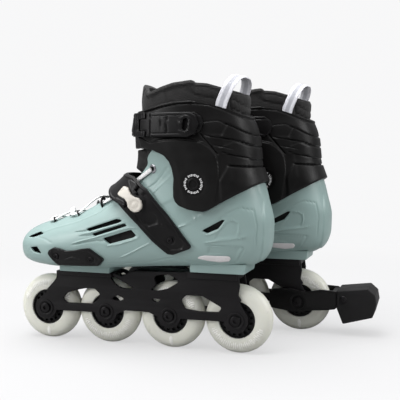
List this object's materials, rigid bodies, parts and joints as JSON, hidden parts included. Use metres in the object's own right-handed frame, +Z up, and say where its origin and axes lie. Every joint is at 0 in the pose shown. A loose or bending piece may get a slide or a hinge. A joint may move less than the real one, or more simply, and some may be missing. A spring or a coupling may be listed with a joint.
{
  "type": "inline skates",
  "caption": "Pair of hard-boot inline skates with hinged ankle cuffs, ratchet and instep buckles, laces, four wheels in line on each frame, and a heel brake on the right skate.",
  "frame": {"origin": "middle of the pair's bounding box, on the floor under the wheels", "axes": "+X from the toes towards the heels, +Y from the left skate to the right skate, +Z up"},
  "size_m": [0.4284, 0.2512, 0.3196],
  "materials": {
    "shell_plastic": "sage green moulded plastic, satin",
    "liner_fabric": "black padded fabric and artificial leather",
    "frame_black": "black glass-filled plastic, satin",
    "black_plastic": "black moulded plastic, satin",
    "lace": "white braided cord",
    "webbing": "white and grey woven webbing",
    "latch": "off-white moulded plastic",
    "tyre": "milky cast polyurethane",
    "hub": "black moulded plastic",
    "bearing_steel": "ground steel",
    "axle_steel": "blackened steel",
    "brake_rubber": "black rubber"
  },
  "bodies": {
    "boots_and_frames": {"left_shell": "shell_plastic", "left_liner": "liner_fabric", "left_frame": "frame_black", "left_slider": "black_plastic", "left_instep_strap": "black_plastic", "left_laces": "lace", "left_outer_pivot": "black_plastic", "left_inner_pivot": "black_plastic", "left_axle_1": "axle_steel", "left_axle_2": "axle_steel", "left_axle_3": "axle_steel", "left_axle_4": "axle_steel", "right_shell": "shell_plastic", "right_liner": "liner_fabric", "right_frame": "frame_black", "right_slider": "black_plastic", "right_instep_strap": "black_plastic", "right_laces": "lace", "right_outer_pivot": "black_plastic", "right_inner_pivot": "black_plastic", "right_axle_1": "axle_steel", "right_axle_2": "axle_steel", "right_axle_3": "axle_steel", "right_axle_4": "axle_steel", "right_brake_arm": "black_plastic", "right_brake_pad": "brake_rubber"},
    "left_cuff": {"left_cuff": "black_plastic", "left_ankle_strap": "black_plastic", "left_pull_loop": "webbing"},
    "left_ankle_buckle": {"left_ankle_buckle": "black_plastic"},
    "left_instep_latch": {"left_instep_latch": "latch"},
    "left_wheel_1": {"left_tyre_1": "tyre", "left_hub_1": "hub", "left_bearings_1": "bearing_steel"},
    "left_wheel_2": {"left_tyre_2": "tyre", "left_hub_2": "hub", "left_bearings_2": "bearing_steel"},
    "left_wheel_3": {"left_tyre_3": "tyre", "left_hub_3": "hub", "left_bearings_3": "bearing_steel"},
    "left_wheel_4": {"left_tyre_4": "tyre", "left_hub_4": "hub", "left_bearings_4": "bearing_steel"},
    "right_cuff": {"right_cuff": "black_plastic", "right_ankle_strap": "black_plastic", "right_pull_loop": "webbing"},
    "right_ankle_buckle": {"right_ankle_buckle": "black_plastic"},
    "right_instep_latch": {"right_instep_latch": "latch"},
    "right_wheel_1": {"right_tyre_1": "tyre", "right_hub_1": "hub", "right_bearings_1": "bearing_steel"},
    "right_wheel_2": {"right_tyre_2": "tyre", "right_hub_2": "hub", "right_bearings_2": "bearing_steel"},
    "right_wheel_3": {"right_tyre_3": "tyre", "right_hub_3": "hub", "right_bearings_3": "bearing_steel"},
    "right_wheel_4": {"right_tyre_4": "tyre", "right_hub_4": "hub", "right_bearings_4": "bearing_steel"}
  },
  "joints": [
    {"name": "left_cuff_flex", "type": "hinge", "parent": "boots_and_frames", "child": "left_cuff", "pos_m": [0.03025, -0.0675, 0.197], "axis": [0, -1, 0], "range_deg": [-2, 12], "stiffness_Nm_per_rad": 4, "deforming": ["left_liner"]},
    {"name": "left_ankle_buckle_open", "type": "hinge", "parent": "left_cuff", "child": "left_ankle_buckle", "pos_m": [-0.03375, -0.1099, 0.263], "axis": [0, 0, -1], "range_deg": [0, 95]},
    {"name": "left_instep_latch_open", "type": "hinge", "parent": "boots_and_frames", "child": "left_instep_latch", "pos_m": [-0.06065, -0.1079, 0.1884], "axis": [-0.5476, -0.3538, -0.7583], "range_deg": [0, 80]},
    {"name": "left_wheel_1_spin", "type": "hinge", "parent": "boots_and_frames", "child": "left_wheel_1", "pos_m": [-0.17425, -0.0675, 0.04], "axis": [0, 1, 0], "continuous": true},
    {"name": "left_wheel_2_spin", "type": "hinge", "parent": "boots_and_frames", "child": "left_wheel_2", "pos_m": [-0.09325, -0.0675, 0.04], "axis": [0, 1, 0], "continuous": true},
    {"name": "left_wheel_3_spin", "type": "hinge", "parent": "boots_and_frames", "child": "left_wheel_3", "pos_m": [-0.01225, -0.0675, 0.04], "axis": [0, 1, 0], "continuous": true},
    {"name": "left_wheel_4_spin", "type": "hinge", "parent": "boots_and_frames", "child": "left_wheel_4", "pos_m": [0.06875, -0.0675, 0.04], "axis": [0, 1, 0], "continuous": true},
    {"name": "right_cuff_flex", "type": "hinge", "parent": "boots_and_frames", "child": "right_cuff", "pos_m": [0.07625, 0.0675, 0.197], "axis": [0, -1, 0], "range_deg": [-2, 12], "stiffness_Nm_per_rad": 4, "deforming": ["right_liner"]},
    {"name": "right_ankle_buckle_open", "type": "hinge", "parent": "right_cuff", "child": "right_ankle_buckle", "pos_m": [0.01225, 0.1099, 0.263], "axis": [0, 0, 1], "range_deg": [0, 95]},
    {"name": "right_instep_latch_open", "type": "hinge", "parent": "boots_and_frames", "child": "right_instep_latch", "pos_m": [-0.01465, 0.1079, 0.1884], "axis": [0.5476, -0.3538, 0.7583], "range_deg": [0, 80]},
    {"name": "right_wheel_1_spin", "type": "hinge", "parent": "boots_and_frames", "child": "right_wheel_1", "pos_m": [-0.12825, 0.0675, 0.04], "axis": [0, 1, 0], "continuous": true},
    {"name": "right_wheel_2_spin", "type": "hinge", "parent": "boots_and_frames", "child": "right_wheel_2", "pos_m": [-0.04725, 0.0675, 0.04], "axis": [0, 1, 0], "continuous": true},
    {"name": "right_wheel_3_spin", "type": "hinge", "parent": "boots_and_frames", "child": "right_wheel_3", "pos_m": [0.03375, 0.0675, 0.04], "axis": [0, 1, 0], "continuous": true},
    {"name": "right_wheel_4_spin", "type": "hinge", "parent": "boots_and_frames", "child": "right_wheel_4", "pos_m": [0.11475, 0.0675, 0.04], "axis": [0, 1, 0], "continuous": true}
  ]
}
